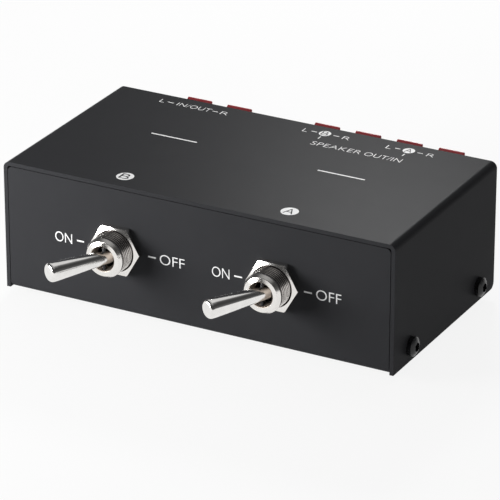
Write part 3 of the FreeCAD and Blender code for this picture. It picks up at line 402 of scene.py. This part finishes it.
def word(text, face, across, along, thin=0.0):
    """A printed word that fills the given span."""
    bpy.ops.object.select_all(action="DESELECT")
    bpy.ops.object.text_add()
    obj = bpy.context.object
    obj.data.body = text
    obj.data.extrude = INK
    obj.data.offset = thin
    bpy.ops.object.convert(target="MESH")
    return fit_flat(bpy.context.object, face, across, along)


def bar(face, across, along):
    """A printed dash or rule: a plane drawn out into a strip with a thickness."""
    bpy.ops.object.select_all(action="DESELECT")
    bpy.ops.mesh.primitive_plane_add(size=1)
    bpy.ops.object.mode_set(mode="EDIT")
    bpy.ops.mesh.select_all(action="SELECT")
    bpy.ops.mesh.extrude_region_move(TRANSFORM_OT_translate={"value": (0, 0, INK)})
    bpy.ops.object.mode_set(mode="OBJECT")
    return fit_flat(bpy.context.object, face, across, along)


def disc(centre, radius):
    """A printed disc on the top, cut from a many-sided prism."""
    bpy.ops.object.select_all(action="DESELECT")
    bpy.ops.mesh.primitive_cylinder_add(vertices=64, radius=radius, depth=INK * 2)
    obj = bpy.context.object
    obj.location = (centre[0], centre[1], TOP)
    return settle(obj)


def joined(name, parts, material):
    """Join separate marks into one piece of print."""
    bpy.ops.object.select_all(action="DESELECT")
    for part in parts:
        part.select_set(True)
    bpy.context.view_layer.objects.active = parts[0]
    if len(parts) > 1:
        bpy.ops.object.join()
    obj = bpy.context.object
    obj.name = name
    dress(obj, material)
    return obj


# %% [markdown]
# The front has the same two words and two dashes beside each switch. Their places are
# measured from the box's middle line, and their heights from the cover's lower edge. A row
# gives the spans of ON, its dash, the other dash and OFF, in millimetres.

# %% Front legends
CAP = (BASE + 18.1 * MM, BASE + 21.17 * MM)
DASH = (BASE + 19.38 * MM, BASE + 19.84 * MM)
SWITCH_MARKS = (
    ((-45.7, -40.1), (-38.5, -36.15), (-15.1, -12.6), (-11.3, -3.3)),
    ((5.5, 11.1), (12.6, 15.15), (34.6, 37.1), (38.4, 46.2)),
)
FRONT_THIN = -0.008
marks = []
for on, on_dash, off_dash, off in SWITCH_MARKS:
    for text, span in (("ON", on), ("OFF", off)):
        marks.append(word(text, "front", [x * MM for x in span], CAP, thin=FRONT_THIN))
    for span in (on_dash, off_dash):
        marks.append(bar("front", [x * MM for x in span], DASH))
front_legend = joined("front_legend", marks, PRINT_WHITE)
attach(front_legend, "housing")
print("front marks:", len(marks))

# %% [markdown]
# The top has a lettered disc behind each switch, and at the rear edge the channel letters of
# the terminals below them. A disc is printed white and its letter left as bare coat, so the
# letter is a thin piece of coat that lies on the disc. A row gives the letter, its place
# across and behind the front edge, the disc's radius and the letter's height.

# %% Lettered discs
DISC_THIN = -0.012
NARROW = 0.9
DISCS = (("B", (-26.1, 6.65), 2.58, 3.3), ("A", (26.4, 6.95), 2.58, 3.3),
         ("B", (9.45, 61.5), 1.82, 2.5), ("A", (36.6, 61.45), 1.82, 2.5))


def letter_disc(letter, centre, radius, height):
    """A white disc with a letter left dark in it."""
    spot = (centre[0] * MM, FRONT + centre[1] * MM)
    half = height * MM / 2
    plate = disc(spot, radius * MM)
    across = (spot[0] - half * NARROW, spot[0] + half * NARROW)
    glyph = word(letter, "top", across, (spot[1] - half, spot[1] + half), thin=DISC_THIN)
    glyph.location.z += INK
    return plate, settle(glyph)


plates, glyphs = [], []
for letter, centre, radius, height in DISCS:
    plate, glyph = letter_disc(letter, centre, radius, height)
    plates.append(plate)
    glyphs.append(glyph)
print("discs:", len(plates))

# %% [markdown]
# Each word, dash and rule line on the top has its span across and its span from the front
# edge. A word also says how much its strokes are thinned, because small print keeps finer
# strokes than the letters' own outlines.

# %% Top legends
TOP_WORDS = (
    ("L", (-45.4, -43.8), (60.2, 62.4), -0.018), ("R", (-25.0, -22.5), (60.2, 62.4), -0.020),
    ("IN/OUT", (-39.55, -28.4), (60.1, 62.4), -0.014),
    ("L", (2.5, 4.0), (60.1, 62.4), -0.018), ("R", (15.4, 17.7), (60.2, 62.4), -0.020),
    ("L", (29.6, 31.2), (60.1, 62.4), -0.018), ("R", (42.5, 44.9), (60.2, 62.4), -0.020),
    ("SPEAKER", (9.05, 25.1), (52.4, 54.9), -0.018), ("OUT/IN", (26.3, 38.0), (52.4, 54.9), -0.014),
)
TOP_BARS = (
    ((-42.9, -40.9), (61.05, 61.37)), ((-27.8, -26.0), (61.05, 61.37)),
    ((5.1, 6.8), (61.2, 61.52)), ((12.3, 14.1), (61.2, 61.52)),
    ((32.3, 33.9), (61.2, 61.52)), ((39.4, 41.1), (61.2, 61.52)),
    ((9.2, 9.5), (57.2, 58.9)), ((36.4, 36.7), (57.2, 58.9)),
    ((-35.3, -20.2), (37.72, 38.27)), ((19.9, 34.9), (36.22, 36.77)),
)


def from_front(low, high):
    """A span along the top, from two distances behind the front edge."""
    return (FRONT + low * MM, FRONT + high * MM)


marks = list(plates)
for text, across, along, thin in TOP_WORDS:
    marks.append(word(text, "top", [x * MM for x in across], from_front(*along), thin))
for across, along in TOP_BARS:
    marks.append(bar("top", [x * MM for x in across], from_front(*along)))
top_legend = joined("top_legend", marks, PRINT_WHITE)
top_letters = joined("top_letters", glyphs, BLACK_COAT)
for piece in (top_legend, top_letters):
    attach(piece, "housing")
print("top marks:", len(marks), "dark letters:", len(glyphs))

# %% [markdown]
# ## Floor
#
# A plain pale floor carries the object's soft shadow. To the eye and in mirror-like metal it
# also glows, so that it stays white as a catalogue page does, whatever the lamps give it.

# %% Floor
FLOOR_SIZE = 12
FLOOR_GLOW = 0.88
bpy.ops.object.select_all(action="DESELECT")
bpy.ops.mesh.primitive_plane_add(size=FLOOR_SIZE)
floor = bpy.context.object
floor.name = "floor"
floor_material = bpy.data.materials.new("pale_floor")
floor_material.use_nodes = True
tree = floor_material.node_tree
shader = tree.nodes["Principled BSDF"]
shader.inputs["Base Color"].default_value = (0.82, 0.82, 0.82, 1)
shader.inputs["Roughness"].default_value = 0.9
shine = add_node(tree, "ShaderNodeEmission")
paths = tree.nodes.new("ShaderNodeLightPath")
seen = add_node(tree, "ShaderNodeMath", operation="MAXIMUM")
seen_more = add_node(tree, "ShaderNodeMath", operation="MAXIMUM")
part = add_node(tree, "ShaderNodeMath", {1: FLOOR_GLOW}, operation="MULTIPLY")
mix = tree.nodes.new("ShaderNodeMixShader")
tree.links.new(paths.outputs["Is Camera Ray"], seen.inputs[0])
tree.links.new(paths.outputs["Is Glossy Ray"], seen.inputs[1])
tree.links.new(seen.outputs[0], seen_more.inputs[0])
tree.links.new(paths.outputs["Is Transmission Ray"], seen_more.inputs[1])
tree.links.new(seen_more.outputs[0], part.inputs[0])
tree.links.new(part.outputs[0], mix.inputs["Fac"])
tree.links.new(shader.outputs["BSDF"], mix.inputs[1])
tree.links.new(shine.outputs["Emission"], mix.inputs[2])
tree.links.new(mix.outputs["Shader"], tree.nodes["Material Output"].inputs["Surface"])
dress(floor, floor_material)
print("floor:", FLOOR_SIZE, "m, glow", FLOOR_GLOW)

# %% [markdown]
# ## World
#
# The studio is dark, with a white strip round the horizon and one soft patch high behind the
# object. Plated metal shows both, and so looks bright with crisp dark bands. A grey room
# would make it look flat.

# %% World
OVERHEAD = (0.4, 0.4, 0.4, 1)
PATCH = (0.75, 0.75, 0.75, 1)
PATCH_EDGES = (("X", 0.40, 0.20), ("Y", 0.10, 0.25), ("Z", 0.53, 0.63))
SIDE_FROM, SIDE_TO = 0.5, 0.85
world = bpy.data.worlds.new("studio")
bpy.context.scene.world = world
world.use_nodes = True
tree = world.node_tree
backdrop = tree.nodes["Background"]
way = tree.nodes.new("ShaderNodeTexCoord")
axes = tree.nodes.new("ShaderNodeSeparateXYZ")
tree.links.new(way.outputs["Generated"], axes.inputs["Vector"])


def sky(first, *between):
    """A grey ramp from the horizon, at 0, to pale grey overhead, at 1, by place and level."""
    ramp = tree.nodes.new("ShaderNodeValToRGB")
    tree.links.new(axes.outputs["Z"], ramp.inputs["Fac"])
    stops = ramp.color_ramp.elements
    stops[0].position = first[0]
    stops[0].color = (first[1], first[1], first[1], 1)
    stops[1].color = OVERHEAD
    for place, level in between:
        stops.new(place).color = (level, level, level, 1)
    return ramp.outputs["Color"]


ahead = sky((0.02, 1.0), (0.06, 0.05), (0.75, 0.06))
beside = sky((0.08, 1.0), (0.20, 0.12), (0.56, 0.05), (0.75, 0.05))
sideways = add_node(tree, "ShaderNodeMath", operation="ABSOLUTE")
side = add_node(tree, "ShaderNodeMapRange", {"From Min": SIDE_FROM, "From Max": SIDE_TO},
                interpolation_type="SMOOTHSTEP")
both = add_node(tree, "ShaderNodeMix", data_type="RGBA")
tree.links.new(axes.outputs["X"], sideways.inputs[0])
tree.links.new(sideways.outputs[0], side.inputs["Value"])
tree.links.new(side.outputs["Result"], both.inputs["Factor"])
tree.links.new(ahead, both.inputs[FIRST])
tree.links.new(beside, both.inputs[SECOND])

lit = add_node(tree, "ShaderNodeMix", {SECOND: PATCH}, data_type="RGBA")
patch = lit.inputs["Factor"]
for axis, none, full in PATCH_EDGES:
    edge = add_node(tree, "ShaderNodeMapRange", {"From Min": none, "From Max": full},
                    interpolation_type="SMOOTHSTEP")
    cut = add_node(tree, "ShaderNodeMath", {1: 1.0}, operation="MULTIPLY")
    tree.links.new(axes.outputs[axis], edge.inputs["Value"])
    tree.links.new(edge.outputs["Result"], cut.inputs[0])
    tree.links.new(cut.outputs[0], patch)
    patch = cut.inputs[1]
tree.links.new(both.outputs[MIXED], lit.inputs[FIRST])
tree.links.new(lit.outputs[MIXED], backdrop.inputs["Color"])
backdrop.inputs["Strength"].default_value = 1.0
print("world nodes:", len(tree.nodes))

# %% [markdown]
# ## Lamps
#
# A small lamp far behind draws the bright fall-off over the satin top, strongest towards the
# right front corner. A larger one, low at the left front, lights the front panel evenly and
# gives the levers their long highlights.

# %% Lamps


def lamp(name, place, aim, size, level):
    """A rectangular soft lamp turned to what it lights. The level is the brightness of its face."""
    data = bpy.data.lights.new(name, "AREA")
    data.shape = "RECTANGLE"
    data.size, data.size_y = size
    data.energy = level * math.pi * size[0] * size[1]
    obj = bpy.data.objects.new(name, data)
    bpy.context.collection.objects.link(obj)
    obj.location = place
    obj.rotation_euler = (Vector(aim) - Vector(place)).to_track_quat("-Z", "Y").to_euler()
    obj.visible_camera = False
    return obj


lamps = [
    lamp("rear_lamp", (-0.16, 0.44, 0.33), (0.06, -0.03, 0.04), (0.11, 0.08), 54),
    lamp("front_lamp", (-0.30, -0.25, 0.10), (-0.04, -0.02, 0.02), (0.20, 0.16), 23),
]
print("lamps:", [(item.name, round(item.data.energy, 3)) for item in lamps])

# %% [markdown]
# ## Camera
#
# The camera stands high at the right front and far away, with a long lens, so the box's
# edges stay nearly parallel, as in a catalogue picture. Its focal length is given in picture
# points, and its place in millimetres.

# %% Camera
SENSOR = 36
PICTURE = 500
FOCAL = 3691.756
PLACE = Vector((459.72, -848.88, 455.72)) * MM
right = Vector((0.88121, 0.47274, 0.0))
up = Vector((-0.19544, 0.36430, 0.91056))
back = Vector((0.43045, -0.80239, 0.41341))
camera_data = bpy.data.cameras.new("camera")
camera_data.sensor_width = SENSOR
camera_data.lens = FOCAL * SENSOR / PICTURE
camera_data.clip_start = 0.01
camera = bpy.data.objects.new("camera", camera_data)
bpy.context.collection.objects.link(camera)
turn = Matrix((right, up, back)).transposed().to_4x4()
camera.matrix_world = Matrix.Translation(PLACE) @ turn
bpy.context.scene.camera = camera
bpy.context.scene.view_settings.view_transform = "Standard"
print("lens:", round(camera_data.lens, 1), "mm")
